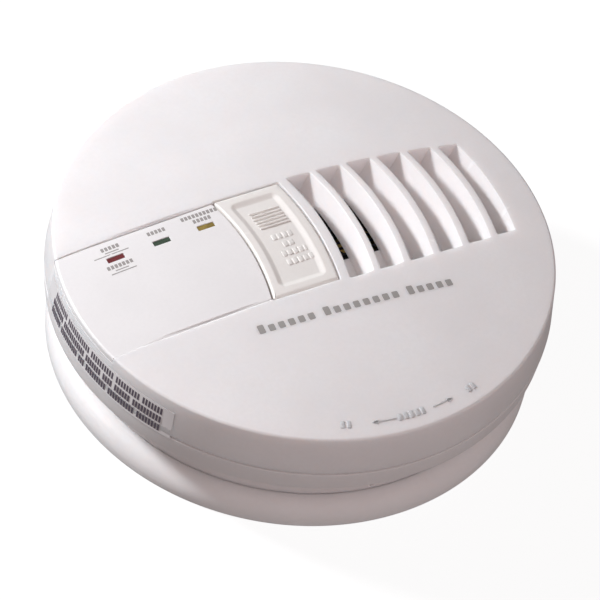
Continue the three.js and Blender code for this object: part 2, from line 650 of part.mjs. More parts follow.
addPiece('mounting_bracket', mountingBracket(), whitePlastic);
addPiece('back_housing', backHousing(), whitePlastic);
addPiece('front_cover', frontCover(), whitePlastic);
addPiece('indicator_panel', indicatorPanel(), whitePlastic);
addPiece('side_label', sideLabel(), labelFilm);
addPiece('rating_label', ratingLabel(), labelFilm);
addPiece('test_button', testButton(), ivoryPlastic);
addPiece('button_guide', buttonGuide(), blackPlastic);
addPiece('button_spring', buttonSpring(), steel);
addPiece('test_switch', testSwitch(), blackPlastic);
addPiece('switch_plunger', switchPlunger(), ivoryPlastic);
addPiece('circuit_board', circuitBoard(), boardGreen);
BOARD_POST.spots.forEach((spot, i) => addPiece(`board_screw_${i + 1}`, boardScrew(spot), steel));
casePosts().forEach((spot, i) => addPiece(`case_screw_${i + 1}`, caseScrew(spot), steel));
const indicators = [['red', redLens], ['green', greenLens], ['amber', amberLens]];
indicators.forEach(([colour, look], i) => {
  addPiece(`${colour}_light_pipe`, lightPipe(WINDOW.xs[i]), look);
  addPiece(`${colour}_led`, ledBody(WINDOW.xs[i]), look);
});
addPiece('horn_housing', hornHousing(), blackPlastic);
addPiece('piezo_disc', piezoDisc(), brass);
addPiece('insect_screen', insectScreen(), steel);
addPiece('co_sensor', coSensor(), steel);
addPiece('co_sensor_filter', coSensorFilter(), blackPlastic);
addPiece('microcontroller', microcontroller(), blackPlastic);
addPiece('transformer', transformer(), copperWinding);
addPiece('film_capacitor', filmCapacitor(), blackPlastic);
addPiece('electrolytic_capacitor', electrolyticCapacitor(), blackPlastic);
addPiece('mains_inlet', mainsInlet(), blackPlastic);
inletPins().forEach((x, i) => addPiece(`inlet_pin_${i + 1}`, inletPin(x), brass));
addPiece('battery', battery(), batteryCase);
batteryTerminals().forEach((y, i) => addPiece(`battery_contact_${i + 1}`, batteryContact(y), steel));
addPiece('battery_door', batteryDoor(), whitePlastic);

export default alarm;
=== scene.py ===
import math

import bmesh
import bpy
from mathutils import Matrix, Vector


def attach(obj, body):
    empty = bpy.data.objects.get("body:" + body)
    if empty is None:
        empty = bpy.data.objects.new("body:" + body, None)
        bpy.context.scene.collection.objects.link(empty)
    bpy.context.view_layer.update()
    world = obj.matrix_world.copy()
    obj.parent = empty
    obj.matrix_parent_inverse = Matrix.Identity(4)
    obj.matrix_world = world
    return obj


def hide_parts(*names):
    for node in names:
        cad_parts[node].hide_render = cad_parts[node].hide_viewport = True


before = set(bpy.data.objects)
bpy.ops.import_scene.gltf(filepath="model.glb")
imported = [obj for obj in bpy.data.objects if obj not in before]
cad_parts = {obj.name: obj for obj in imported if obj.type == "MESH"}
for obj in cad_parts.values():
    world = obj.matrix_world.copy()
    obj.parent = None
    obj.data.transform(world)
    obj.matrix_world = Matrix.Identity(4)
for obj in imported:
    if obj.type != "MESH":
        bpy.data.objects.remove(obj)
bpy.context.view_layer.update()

MM = 0.001

# ---- case dimensions, in millimetres ----
HEIGHT = 45.5              # apex of the domed face
DOME_RISE = 5.8            # height the face loses between the apex and the rim
RIM_RADIUS = 71.2
WALL_RADIUS = 72.95        # widest point, at the parting line
CREST_RADIUS = 71.8        # top of the tapered cover wall
FILLET = 0.9               # edge between face and wall
FILLET_START = CREST_RADIUS - FILLET
COVER_BOTTOM = 26.5
COVER_SKIN = 2.8
COVER_SKIN_RADIUS = 65     # the domed skin's inside ends here
COVER_WALL_TOP = 36.2      # top of the straight inside of the wall
LIP_BOTTOM = 24.0          # foot of the lip that drops into the housing
HOUSING_BOTTOM = 3.4
HOUSING_TOP = 25.7
HOUSING_RADIUS = 72.9
TUB_RADIUS = 62.6
NECK_RADIUS = 64.7
REACH = 5                  # how far cutting tools reach past the case
SEGMENTS = 256             # facets round a full turn of the shells

ARC_CENTRE = -97.5         # centre of the button's two curved edges, on the X axis
BUTTON_ARCS = (79.5, 99.4)
BUTTON_HALF = 19.2
BUTTON_GAP = 0.4
DISH_DEPTH = 0.75
BAND_HALF = 19.2
BAND_DROP = 0.3            # how far the indicator panel lies below the face
BAND_THICKNESS = 0.9
LOUVRE_RADIUS = 88.0
LOUVRE_FIRST = 5.5
LOUVRE_PITCH = 9.75
LOUVRE_DEPTH = 8.6
LOUVRE_LEAN = 0.372        # run over fall of the outer wall of a pocket
OPEN_LOUVRES = (0, 1)      # the two pockets with a slit over the sounder, which are shallower
OPEN_DEPTH = 7.2
LOUVRE_WIDTHS = (7.6, 7.6, 7.6, 7.6, 7.6, 6.3)
LOUVRE_HALVES = (20.0, 19.9, 19.8, 19.4, 18.8, 18.0)
SLIT_Y = (-8.5, 12.5)
WINDOW_XS = (-53.9, -39.8, -26.1)
WINDOW_Y = 12.1
WINDOW_SIZE = (5.2, 1.8)
CASE_SCREW_OFFSET = 39.5
BAY_X = (-47.2, 6.2)
BAY_HALF = 15.0
INLET_X = 30.0
BAYONET_ANGLES = (90, 210, 330)
LABEL_ANGLES = (166.0, 213.7)
LABEL_Z = (25.4, 35.4)

# ---- plain shapes of the case ----
def dome_z(radius):
    return HEIGHT - DOME_RISE * (radius / RIM_RADIUS) ** 2


FILLET_CENTRE = (FILLET_START, dome_z(FILLET_START) - FILLET)


def surface_z(x, y):
    """Height of the outer face, edge rounding included, over a point of the plan."""
    radius = math.hypot(x, y)
    if radius <= FILLET_START:
        return dome_z(radius)
    run = min(max(radius - FILLET_CENTRE[0], 0.0), FILLET)
    return FILLET_CENTRE[1] + math.sqrt(FILLET ** 2 - run ** 2)


def dome_normal(x, y):
    slope = 2 * DOME_RISE / RIM_RADIUS ** 2
    return Vector((slope * x, slope * y, 1)).normalized()


def arc(centre, radius, start, end, steps):
    """Points on an arc in degrees, both ends included."""
    turns = [math.radians(start + (end - start) * i / steps) for i in range(steps + 1)]
    return [(centre[0] + radius * math.cos(t), centre[1] + radius * math.sin(t)) for t in turns]


def soften(corners, steps=4):
    """An outline of (r, z, rounding) corners with each corner rounded off."""
    points = []
    for i, (r, z, rounding) in enumerate(corners):
        if not rounding:
            points.append((r, z))
            continue
        here = Vector((r, z))
        before = Vector(corners[i - 1][:2])
        after = Vector(corners[(i + 1) % len(corners)][:2])
        back = min(rounding, (before - here).length * 0.45)
        ahead = min(rounding, (after - here).length * 0.45)
        first = here + (before - here).normalized() * back
        last = here + (after - here).normalized() * ahead
        for k in range(steps + 1):
            t = k / steps
            points.append(tuple(first * (1 - t) ** 2 + here * 2 * t * (1 - t) + last * t * t))
    return points


# ---- mesh helpers ----
def mesh_object(name, points, faces):
    mesh = bpy.data.meshes.new(name)
    mesh.from_pydata([(x * MM, y * MM, z * MM) for x, y, z in points], [], faces)
    obj = bpy.data.objects.new(name, mesh)
    bpy.context.scene.collection.objects.link(obj)
    return obj


def lathe(name, outline, segments=SEGMENTS, centre=(0, 0)):
    """An anticlockwise (r, z) outline turned about +Z; it closes on itself or on the axis."""
    points, rings, faces = [], [], []
    for r, z in outline:
        count = segments if r > 1e-6 else 1
        rings.append(range(len(points), len(points) + count))
        for i in range(count):
            turn = 2 * math.pi * i / segments
            points.append((centre[0] + r * math.cos(turn), centre[1] + r * math.sin(turn), z))
    pairs = list(zip(rings, rings[1:]))
    if len(rings[0]) > 1:
        pairs.append((rings[-1], rings[0]))
    for low, high in pairs:
        for i in range(segments):
            j = (i + 1) % segments
            if len(low) == 1 and len(high) > 1:
                faces.append((low[0], high[j], high[i]))
            elif len(high) == 1 and len(low) > 1:
                faces.append((low[i], low[j], high[0]))
            elif len(low) > 1:
                faces.append((low[i], low[j], high[j], high[i]))
    return mesh_object(name, points, faces)


def loft(name, rings):
    """A closed solid through rings of equal length, lowest first, each anticlockwise."""
    count = len(rings[0])
    points = [point for ring in rings for point in ring]
    faces = []
    for k in range(len(rings) - 1):
        low, high = k * count, (k + 1) * count
        for i in range(count):
            j = (i + 1) % count
            faces.append((low + i, low + j, high + j, high + i))
    faces.append(tuple(reversed(range(count))))
    faces.append(tuple(range((len(rings) - 1) * count, len(rings) * count)))
    return mesh_object(name, points, faces)


def block(name, xs, ys, zs):
    ring = [(xs[0], ys[0]), (xs[1], ys[0]), (xs[1], ys[1]), (xs[0], ys[1])]
    return loft(name, [[(x, y, z) for x, y in ring] for z in zs])


def rod(name, radius, zs, centre, segments=48):
    return lathe(name, [(0, zs[0]), (radius, zs[0]), (radius, zs[1]), (0, zs[1])], segments, centre)


def bake(obj):
    """Replace an object's mesh by the result of its modifiers."""
    bpy.context.view_layer.update()
    graph = bpy.context.evaluated_depsgraph_get()
    mesh = bpy.data.meshes.new_from_object(obj.evaluated_get(graph))
    obj.modifiers.clear()
    obj.data = mesh
    return obj


def combine(target, tools, operation):
    for tool in tools:
        step = target.modifiers.new("combine", "BOOLEAN")
        step.operation = operation
        step.solver = "MANIFOLD"
        step.object = tool
    bake(target)
    for tool in tools:
        bpy.data.objects.remove(tool)
    return target


def cut(target, *tools):
    return combine(target, tools, "DIFFERENCE")


def add(target, *tools):
    return combine(target, tools, "UNION")


def common(target, *tools):
    return combine(target, tools, "INTERSECT")


SHARP_ANGLE = 32
DOME_TOLERANCE = 4


def shade(obj, on_dome=False):
    """Smooth shading, with the exact normal wherever a face lies parallel to the dome."""
    mesh = obj.data
    mesh.shade_smooth()
    mesh.set_sharp_from_angle(angle=math.radians(SHARP_ANGLE))
    if not on_dome:
        return obj
    normals = [Vector(corner.vector) for corner in mesh.corner_normals]
    limit = math.cos(math.radians(DOME_TOLERANCE))
    for face in mesh.polygons:
        x, y = face.center.x / MM, face.center.y / MM
        if math.hypot(x, y) > FILLET_START or face.normal.dot(dome_normal(x, y)) < limit:
            continue
        for loop in face.loop_indices:
            point = mesh.vertices[mesh.loops[loop].vertex_index].co / MM
            normals[loop] = dome_normal(point.x, point.y)
    mesh.normals_split_custom_set(normals)
    return obj


# ---- plan outlines with their outward normals ----
def arc_outline(centre_x, inner, outer, half, corner=0.6, arc_steps=56, corner_steps=5):
    """(x, y, nx, ny) round the area between two arcs about (centre_x, 0), cut at y = +-half."""
    def spot(radius, y):
        return centre_x + math.sqrt(radius ** 2 - y ** 2)

    outer_corner = (spot(outer - corner, half - corner), half - corner)
    inner_corner = (spot(inner + corner, half - corner), half - corner)
    outer_turn = math.degrees(math.atan2(outer_corner[1], outer_corner[0] - centre_x))
    inner_turn = math.degrees(math.atan2(inner_corner[1], inner_corner[0] - centre_x))
    upper = []
    for x, y in arc((centre_x, 0), outer, 0, outer_turn, arc_steps // 2):
        upper.append((x, y, (x - centre_x) / outer, y / outer))
    for x, y in arc(outer_corner, corner, outer_turn, 90, corner_steps)[1:]:
        upper.append((x, y, (x - outer_corner[0]) / corner, (y - outer_corner[1]) / corner))
    for x, y in arc(inner_corner, corner, 90, 180 + inner_turn, corner_steps):
        upper.append((x, y, (x - inner_corner[0]) / corner, (y - inner_corner[1]) / corner))
    for x, y in arc((centre_x, 0), inner, inner_turn, 0, arc_steps // 2)[1:]:
        upper.append((x, y, (centre_x - x) / inner, -y / inner))
    lower = [(x, -y, nx, -ny) for x, y, nx, ny in reversed(upper[1:-1])]
    return upper + lower


def rounded_rectangle(centre, size, corner, steps=4):
    """(x, y, nx, ny) round a rectangle with round corners."""
    outline = []
    for quarter, (sx, sy) in enumerate([(1, 1), (-1, 1), (-1, -1), (1, -1)]):
        middle = (centre[0] + sx * (size[0] / 2 - corner), centre[1] + sy * (size[1] / 2 - corner))
        for x, y in arc(middle, corner, quarter * 90, quarter * 90 + 90, steps):
            outline.append((x, y, (x - middle[0]) / corner, (y - middle[1]) / corner))
    return outline


def draped(outline, steps, lean=0.0, floor=None):
    """Rings of an outline at (offset, depth) steps below the face; depth None is far above."""
    rings = []
    for offset, depth in steps:
        ring = []
        for x, y, nx, ny in outline:
            px, py = x + nx * offset, y + ny * offset
            face = surface_z(px, py)
            z = HEIGHT + 3 if depth is None else face - depth
            if floor is not None:
                z = max(z, floor)
                rise = min(z, face) - floor
                px += lean * rise * max(nx, 0.0) ** 2
            ring.append((px, py, z))
        rings.append(ring)
    return rings


ROLL_TURNS = (0, 18, 36, 54, 70)


def roll_out(radius, width=None):
    """Steps of an opening's rounded lip, from its wall up and out through the face."""
    width = width or radius
    steps = []
    for turn in ROLL_TURNS:
        t = math.radians(turn)
        steps.append((width * (1 - math.cos(t)), radius * (1 - math.sin(t))))
    offset, depth = steps[-1]
    run = 0.4
    t = math.radians(ROLL_TURNS[-1])
    steps.append((offset + run * math.sin(t), depth - run * math.cos(t)))
    steps.append((offset + run * math.sin(t), None))
    return steps


def roll_in(radius, width=None):
    """Steps of a raised piece's rounded edge, from its side up and in through the face."""
    return [(-offset, depth) for offset, depth in roll_out(radius, width)]


# ---- materials ----
def shader_tree(name):
    material = bpy.data.materials.new(name)
    material.use_nodes = True
    tree = material.node_tree
    shader = tree.nodes["Principled BSDF"]
    return material, tree, shader


def noise(tree, scale, detail=3.0):
    where = tree.nodes.new("ShaderNodeTexCoord")
    result = tree.nodes.new("ShaderNodeTexNoise")
    result.inputs["Scale"].default_value = scale
    result.inputs["Detail"].default_value = detail
    tree.links.new(where.outputs["Object"], result.inputs["Vector"])
    return result.outputs["Fac"]


def remap(tree, value, low, high, to_low, to_high):
    node = tree.nodes.new("ShaderNodeMapRange")
    node.inputs["From Min"].default_value = low
    node.inputs["From Max"].default_value = high
    node.inputs["To Min"].default_value = to_low
    node.inputs["To Max"].default_value = to_high
    tree.links.new(value, node.inputs["Value"])
    return node.outputs["Result"]


def mix_colour(tree, factor, first, second):
    node = tree.nodes.new("ShaderNodeMix")
    node.data_type = "RGBA"
    tree.links.new(factor, node.inputs["Factor"])
    for socket, value in ((node.inputs["A"], first), (node.inputs["B"], second)):
        if isinstance(value, tuple):
            socket.default_value = (*value, 1)
        else:
            tree.links.new(value, socket)
    return node.outputs["Result"]


def shifted(colour, factor):
    return tuple(min(1.0, channel * factor) for channel in colour)


def bump(tree, shader, height, distance):
    node = tree.nodes.new("ShaderNodeBump")
    node.inputs["Distance"].default_value = distance
    tree.links.new(height, node.inputs["Height"])
    tree.links.new(node.outputs["Normal"], shader.inputs["Normal"])


def finish(name, colour, roughness, grain_mm=0.35, relief=0.00001, variation=0.03, metallic=0.0,
           painted_edge_highlight=0.06, specular=0.5, translucency=0.0):
    """Moulded or worked surface: mottled colour, fine grain in the bump, and a painted highlight that
    lightens sharp edges.
    """
    material, tree, shader = shader_tree(name)
    broad = remap(tree, noise(tree, 38.0), 0.3, 0.7, 0.0, 1.0)
    base = mix_colour(tree, broad, shifted(colour, 1 - variation), shifted(colour, 1 + variation))
    speckle = remap(tree, noise(tree, 1 / (grain_mm * MM * 3), 4.0), 0.35, 0.75, 0.0, 0.35)
    base = mix_colour(tree, speckle, base, shifted(colour, 1 - 2 * variation))
    # painted highlight: sharp edges, found by pointiness, are made lighter in colour
    edge = tree.nodes.new("ShaderNodeNewGeometry").outputs["Pointiness"]
    painted_edge_highlight_mask = remap(tree, edge, 0.52, 0.62, 0.0, 1.0)
    base = mix_colour(tree, painted_edge_highlight_mask, base, shifted(colour, 1 + painted_edge_highlight))
    tree.links.new(base, shader.inputs["Base Color"])
    patches = remap(tree, noise(tree, 90.0, 2.0), 0.3, 0.7, roughness - 0.04, roughness + 0.05)
    tree.links.new(patches, shader.inputs["Roughness"])
    shader.inputs["Metallic"].default_value = metallic
    shader.inputs["Specular IOR Level"].default_value = specular
    shader.inputs["Subsurface Weight"].default_value = translucency
    shader.inputs["Subsurface Radius"].default_value = (1.0, 0.9, 0.85)
    shader.inputs["Subsurface Scale"].default_value = 3.0 * MM
    bump(tree, shader, noise(tree, 1 / (grain_mm * MM), 2.0), relief)
    return material


def lens(name, colour):
    """Tinted clear plastic over a dark cavity, with faint moulded prisms."""
    material, tree, shader = shader_tree(name)
    depth = remap(tree, noise(tree, 420.0, 2.0), 0.3, 0.7, 0.0, 1.0)
    base = mix_colour(tree, depth, shifted(colour, 0.75), shifted(colour, 1.3))
    tree.links.new(base, shader.inputs["Base Color"])
    rough = remap(tree, noise(tree, 900.0, 2.0), 0.3, 0.7, 0.14, 0.24)
    tree.links.new(rough, shader.inputs["Roughness"])
    shader.inputs["Coat Weight"].default_value = 0.4
    shader.inputs["Coat Roughness"].default_value = 0.08
    bump(tree, shader, noise(tree, 1600.0, 2.0), 0.00002)
    return material


WHITE = (0.91, 0.885, 0.88)
MATERIALS = {
    "cover": finish("cover_abs", WHITE, 0.46, translucency=0.75),
    "panel": finish("panel_abs", (0.91, 0.895, 0.89), 0.42, grain_mm=0.3, translucency=0.1),
    "housing": finish("housing_abs", (0.89, 0.85, 0.84), 0.5, grain_mm=0.45, translucency=0.75),
    "bracket": finish("bracket_abs", (0.89, 0.865, 0.855), 0.48, grain_mm=0.45, translucency=0.75),
    "button": finish("button_abs", (0.90, 0.87, 0.83), 0.44, grain_mm=0.3, translucency=0.2),
    "label": finish("label_film", (0.86, 0.84, 0.84), 0.32, grain_mm=0.9, relief=0.000004),
    "ink": finish("grey_ink", (0.36, 0.345, 0.33), 0.6, grain_mm=0.2, variation=0.08, painted_edge_highlight=0),
    "dark_ink": finish("dark_ink", (0.12, 0.10, 0.13), 0.5, grain_mm=0.2, variation=0.1, painted_edge_highlight=0),
    "black": finish("black_plastic", (0.012, 0.012, 0.013), 0.5, grain_mm=0.4, variation=0.15,
                    painted_edge_highlight=0.8),
    # painted shade: the steel insect screen is coloured near black so the slits above it read as dark
    # openings
    "mesh": finish("screen_painted_shade", (0.014, 0.014, 0.015), 0.6, grain_mm=0.3, variation=0.15,
                   painted_edge_highlight=0.8),
    "board": finish("board_mask", (0.015, 0.105, 0.035), 0.38, grain_mm=0.6, variation=0.12),
    "steel": finish("plated_steel", (0.56, 0.565, 0.58), 0.3, metallic=1.0, variation=0.06),
    "brass": finish("brass", (0.58, 0.40, 0.13), 0.28, metallic=1.0, variation=0.08),
    "winding": finish("winding_tape", (0.62, 0.49, 0.16), 0.55, grain_mm=0.5, variation=0.1),
    "battery": finish("battery_jacket", (0.022, 0.038, 0.09), 0.33, grain_mm=0.7, variation=0.12),
    "red": lens("red_lens", (0.20, 0.040, 0.045)),
    "green": lens("green_lens", (0.055, 0.085, 0.058)),
    "amber": lens("amber_lens", (0.27, 0.20, 0.055)),
}


def place(obj, material, body, slot, *nodes):
    obj.data.materials.clear()
    obj.data.materials.append(MATERIALS[material])
    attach(obj, body)
    if nodes:
        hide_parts(*nodes)
    return obj


# ---- front cover ----
def dome_outline(drop, rings=34):
    """(r, z) points of the face lowered by `drop`, from the edge rounding to the axis."""
    points = arc((FILLET_CENTRE[0], FILLET_CENTRE[1] - drop), FILLET, 2, 80, 12)
    for i in range(rings + 1):
        radius = FILLET_START * (1 - i / rings)
        points.append((radius, dome_z(radius) - drop))
    return points


LIP_RADII = (68.2, 70.2)


def cover_shell():
    """Domed face and tapered wall with the lip that drops into the housing."""
    inner, outer = LIP_RADII
    wall = [(outer, COVER_BOTTOM), (WALL_RADIUS - 0.3, COVER_BOTTOM),
            (WALL_RADIUS - 0.08, COVER_BOTTOM + 0.08), (WALL_RADIUS - 0.02, COVER_BOTTOM + 0.35),
            (CREST_RADIUS + 0.02, FILLET_CENTRE[1] - 0.3)]
    inside = [(r, z) for r, z in dome_outline(COVER_SKIN) if r < COVER_SKIN_RADIUS]
    solid = lathe("cover_shell", [(0, LIP_BOTTOM), (outer, LIP_BOTTOM)] + wall + dome_outline(0))
    hollow = lathe("hollow", [(0, LIP_BOTTOM - REACH), (inner, LIP_BOTTOM - REACH),
                              (inner, COVER_WALL_TOP)] + inside)
    return cut(solid, hollow)


LOUVRE_BLOCKS = (((2.9, 35.0), 34.2), ((34.9, 62.0), 31.5))    # X range and underside of each
BLOCK_HALF = 21.6
BLOCK_DROP = 1.2           # the blocks' tops lie this far inside the skin


def louvre_blocks(steps=12):
    """Solid material behind the face that the pockets are cut into."""
    blocks = []
    for xs, bottom in LOUVRE_BLOCKS:
        run, span = xs[1] - xs[0], 2 * BLOCK_HALF
        edge = [(xs[0] + run * i / steps, -BLOCK_HALF) for i in range(steps + 1)]
        edge += [(xs[1], -BLOCK_HALF + span * i / steps) for i in range(1, steps + 1)]
        edge += [(xs[1] - run * i / steps, BLOCK_HALF) for i in range(1, steps + 1)]
        edge += [(xs[0], BLOCK_HALF - span * i / steps) for i in range(1, steps)]
        top = [(x, y, surface_z(x, y) - BLOCK_DROP) for x, y in edge]
        blocks.append(loft("block", [[(x, y, bottom) for x, y in edge], top]))
    return blocks


def louvre_depth(index):
    return OPEN_DEPTH if index in OPEN_LOUVRES else LOUVRE_DEPTH


BELOW_FLOOR = 20.0         # a depth that the pocket's floor always cuts short
FLOOR_EDGE = 0.07          # small bevel round the floor
POCKET_LIP = 0.4


def louvre_pocket(index):
    """Cutter for one pocket: a steep inner wall, a leaning outer wall and a rounded lip."""
    edge = LOUVRE_FIRST + LOUVRE_PITCH * index
    width, half, depth = LOUVRE_WIDTHS[index], LOUVRE_HALVES[index], louvre_depth(index)
    floor = surface_z(edge + width / 2, 0) - depth
    foot = LOUVRE_RADIUS + width - LOUVRE_LEAN * depth
    outline = arc_outline(edge - LOUVRE_RADIUS, LOUVRE_RADIUS, foot, half, corner=0.3)
    steps = [(-0.24, BELOW_FLOOR), (-FLOOR_EDGE, BELOW_FLOOR), (0.0, depth - 0.9), (0.0, 4.0)]
    rings = draped(outline, steps + roll_out(POCKET_LIP), LOUVRE_LEAN, floor)
    rings[1] = [(x, y, z + FLOOR_EDGE) for x, y, z in rings[1]]
    return loft("pocket", rings)


SLIT_BOTTOM = 30.0
SLIT_UNDERCUT = 3.0
SLIT_CLEARANCE = 0.06      # keeps the slit just inside the leaning wall


def louvre_slit(index, steps=24):
    """Curved slit through a pocket's floor, undercut below it towards the leaning wall."""
    edge, width = LOUVRE_FIRST + LOUVRE_PITCH * index, LOUVRE_WIDTHS[index]
    floor = surface_z(edge + width / 2, 0) - OPEN_DEPTH
    foot = LOUVRE_RADIUS + width - LOUVRE_LEAN * OPEN_DEPTH
    ys = [SLIT_Y[0] + (SLIT_Y[1] - SLIT_Y[0]) * i / steps for i in range(steps + 1)]
    rings = []
    wide, narrow = foot + SLIT_UNDERCUT, foot - SLIT_CLEARANCE
    for radius, z in ((wide, SLIT_BOTTOM), (wide, floor - 1.6), (narrow, floor - 0.5),
                      (narrow, floor + 0.9)):
        sides = [(radius, y) for y in ys] + [(LOUVRE_RADIUS - 0.02, y) for y in reversed(ys)]
        rings.append([(edge - LOUVRE_RADIUS + math.sqrt(r * r - y * y), y, z) for r, y in sides])
    return loft("slit", rings)


BAND_INNER = 22.0          # inner arc of the band's outline, which lies outside the case
BAND_SEAT = 0.3            # space under the panel


def band_outline(half, radius):
    return arc_outline(ARC_CENTRE, BAND_INNER, radius, half, corner=0.5)


def band_recess():
    """Space above the lowered band, with a rounded upper lip, open towards the button."""
    depth = BAND_DROP + BAND_THICKNESS + BAND_SEAT
    outline = band_outline(BAND_HALF, BUTTON_ARCS[0] - BUTTON_GAP + 0.1)
    body = loft("recess", draped(outline, [(0, depth + 12), (0, depth)] + roll_out(0.14)))
    wide = WALL_RADIUS + REACH
    under = dome_outline(depth)
    low = under[0][1]
    above = lathe("above", under[::-1][:-1] + [(under[0][0], low), (wide, low),
                                               (wide, HEIGHT + 2 * REACH), (0, HEIGHT + 2 * REACH)])
    return common(body, above)


def window_box(centre_x, extra, depth):
    size = (WINDOW_SIZE[0] + 2 * extra, WINDOW_SIZE[1] + 2 * extra)
    outline = rounded_rectangle((centre_x, WINDOW_Y), size, 0.25)
    return loft("window", draped(outline, [(0, depth)] + roll_out(0.12)))


def cover():
    body = add(cover_shell(), *louvre_blocks())
    opening = arc_outline(ARC_CENTRE, BUTTON_ARCS[0] - BUTTON_GAP, BUTTON_ARCS[1] + BUTTON_GAP,
                          BUTTON_HALF + BUTTON_GAP, corner=0.5)
    tools = [louvre_pocket(i) for i in range(len(LOUVRE_WIDTHS))]
    tools += [louvre_slit(i) for i in OPEN_LOUVRES]
    tools.append(loft("opening", draped(opening, [(0, 14.0), (0, 3.0)] + roll_out(0.25))))
    tools.append(band_recess())
    for x in WINDOW_XS:
        tools.append(window_box(x, 0.4, 12.0))
    cut(body, *tools)
    return place(shade(body, True), "cover", "alarm", "white_shell", "front_cover")


# ---- indicator panel ----
def indicator_panel():
    outer = dome_outline(BAND_DROP)
    inner = dome_outline(BAND_DROP + BAND_THICKNESS)[::-1]
    sheet = lathe("indicator_panel", [(0.0, inner[0][1])] + inner[1:] + outer)
    steps = [(0.0, 14.0), (0.0, BAND_DROP + 0.3)]
    steps += [(offset, None if depth is None else depth + BAND_DROP) for offset, depth in roll_in(0.2, 0.3)]
    outline = band_outline(BAND_HALF - 0.28, BUTTON_ARCS[0] - BUTTON_GAP - 0.15)
    common(sheet, loft("band", draped(outline, steps)))
    windows = []
    for x in WINDOW_XS:
        outline = rounded_rectangle((x, WINDOW_Y), WINDOW_SIZE, 0.22)
        steps = [(0, 6.0)]
        steps += [(o, None if d is None else d + BAND_DROP) for o, d in roll_out(0.1)]
        windows.append(loft("window", draped(outline, steps)))
    cut(sheet, *windows)
    return place(shade(sheet, True), "panel", "alarm", "white_shell", "indicator_panel")


def light_pipe(colour, x):
    """Window lens: a pipe down to its lamp, a retaining shelf and a softly rounded top."""
    size = (WINDOW_SIZE[0] - 0.12, WINDOW_SIZE[1] - 0.12)
    outline = rounded_rectangle((x, WINDOW_Y), size, 0.2)
    steps = [(0.0, 11.5), (0.0, 6.4), (0.9, 6.4), (0.9, 5.3), (0.0, 5.3), (0.0, 0.7), (-0.03, 0.52),
             (-0.1, 0.44), (-0.25, 0.41)]
    return place(shade(loft(colour + "_window", draped(outline, steps)), True), colour, "alarm",
                 colour + "_lens", colour + "_light_pipe")


# ---- test button ----
RIB_YS = [11.4 - 1.2 * i for i in range(6)]
RIB_SIZE, RIB_HEIGHT = (9.3, 0.55), 0.38
# Y, middle X and block widths of each row of marks on the button
BUTTON_ROWS = ((1.2, -7.6, (1.25,) * 4), (-2.0, -7.2, (1.35, 1.5)),
               (-5.2, -6.9, (1.3,) * 4 + (0.7,)), (-8.5, -6.6, (1.3,) * 5))
BUTTON_MARK_GAP, BUTTON_MARK_LENGTH = 0.42, 2.0


def dish_slope():
    return [(-1.15, DISH_DEPTH), (-0.95, DISH_DEPTH - 0.03), (-0.6, DISH_DEPTH - 0.16),
            (-0.2, DISH_DEPTH * 0.55), (0.2, 0.22), (0.55, 0.06), (0.9, 0.0), (1.2, -0.06), (1.2, None)]


def tilted(centre, size, corner, tilt, steps=3):
    """A rounded rectangle turned by `tilt` degrees about its middle."""
    turn = math.radians(tilt)
    c, s = math.cos(turn), math.sin(turn)
    return [(centre[0] + x * c - y * s, centre[1] + x * s + y * c, nx * c - ny * s, nx * s + ny * c)
            for x, y, nx, ny in rounded_rectangle((0, 0), size, corner, steps)]


def raised_bar(name, centre, size, depth, height, corner, tilt=0.0):
    """A low rounded bar standing on a surface that lies `depth` below the face."""
    outline = tilted(centre, size, corner, tilt)
    steps = [(0.02, depth + 0.4), (0.0, depth - height * 0.45), (-0.05, depth - height * 0.8),
             (-0.14, depth - height)]
    return loft(name, draped(outline, steps))


CAP_DEPTH = 5.5            # underside of the cap's skirt below the face
CAP_SKIRT = 1.6
CAP_SKIN = 1.8
STEM_X = -9.2
STEM_RADIUS = 1.9
STEM_FOOT, STEM_TOP = 34.3, 43.6


def test_button():
    """Domed cap with two curved sides, a dish on top, a hollow below and a stem."""
    plan = arc_outline(ARC_CENTRE, BUTTON_ARCS[0], BUTTON_ARCS[1], BUTTON_HALF, corner=0.5)
    cap = loft("test_button", [[(x, y, 30.0) for x, y, _, _ in plan]]
               + [[(x, y, HEIGHT + 4) for x, y, _, _ in plan]])
    low, high = dome_outline(CAP_DEPTH), dome_outline(0.02)
    slab = lathe("slab", [(0.0, low[-1][1])] + low[::-1][1:] + high)
    common(cap, slab)
    edge = loft("edge", draped(plan, [(0.0, 14.0), (0.0, 3.0)] + roll_in(0.6, 0.9)))
    common(cap, edge)
    under = arc_outline(ARC_CENTRE, BUTTON_ARCS[0] + CAP_SKIRT, BUTTON_ARCS[1] - CAP_SKIRT,
                        BUTTON_HALF - CAP_SKIRT)
    dish = arc_outline(ARC_CENTRE, BUTTON_ARCS[0] + 3.0, BUTTON_ARCS[1] - 3.4, BUTTON_HALF - 3.3,
                       corner=1.3)
    cut(cap, loft("under", draped(under, [(0, 9.0), (0, CAP_SKIN)])),
        loft("dish", draped(dish, dish_slope())))
    stem = lathe("stem", soften([(0, STEM_FOOT, 0), (STEM_RADIUS, STEM_FOOT, 0.3),
                                 (STEM_RADIUS, STEM_TOP, 0), (0, STEM_TOP, 0)]), 32, (STEM_X, 0))
    return place(shade(add(cap, stem), True), "button", "button", "ivory_button", "test_button")


def button_relief():
    """Finger ribs and the rows of small raised marks under them, moulded into the dish."""
    bars = []
    for i, y in enumerate(RIB_YS):
        x = -8.35 + 0.13 * i
        bars.append(raised_bar("rib", (x, y), RIB_SIZE, DISH_DEPTH, RIB_HEIGHT, 0.26))
    gap = BUTTON_MARK_GAP
    for y, middle, widths in BUTTON_ROWS:
        x = middle - (sum(widths) + gap * (len(widths) - 1)) / 2
        for width in widths:
            bars.append(raised_bar("mark", (x + width / 2, y), (width, BUTTON_MARK_LENGTH),
                                   DISH_DEPTH, 0.15, 0.3))
            x += width + gap
    relief = join("button_relief", bars)
    return place(shade(relief), "button", "button", "ivory_button")


